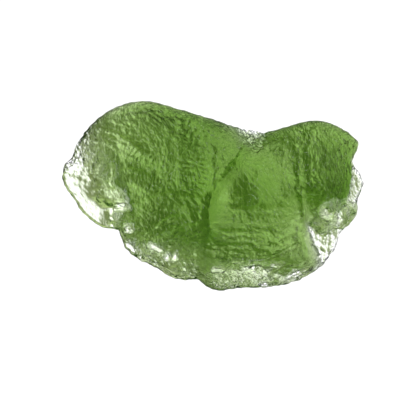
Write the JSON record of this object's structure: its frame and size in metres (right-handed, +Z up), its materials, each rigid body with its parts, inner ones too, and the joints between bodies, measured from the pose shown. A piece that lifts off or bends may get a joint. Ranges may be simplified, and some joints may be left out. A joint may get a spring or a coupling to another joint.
{
  "type": "moldavite tektite",
  "caption": "Flat kidney-shaped piece of clear green natural glass, etched and pitted all over, thin and clear at its broken ends.",
  "frame": {"origin": "centre of the bounding box in X and Y, at the level the stone rests on", "axes": "+X along the length towards the wide notched end, +Y towards the thick notched edge, +Z up from the belly to the face"},
  "size_m": [0.0318, 0.02, 0.0105],
  "materials": {
    "moldavite_glass": "clear green glass with an etched, finely pitted skin"
  },
  "bodies": {
    "root": {"moldavite": "moldavite_glass"}
  },
  "joints": []
}
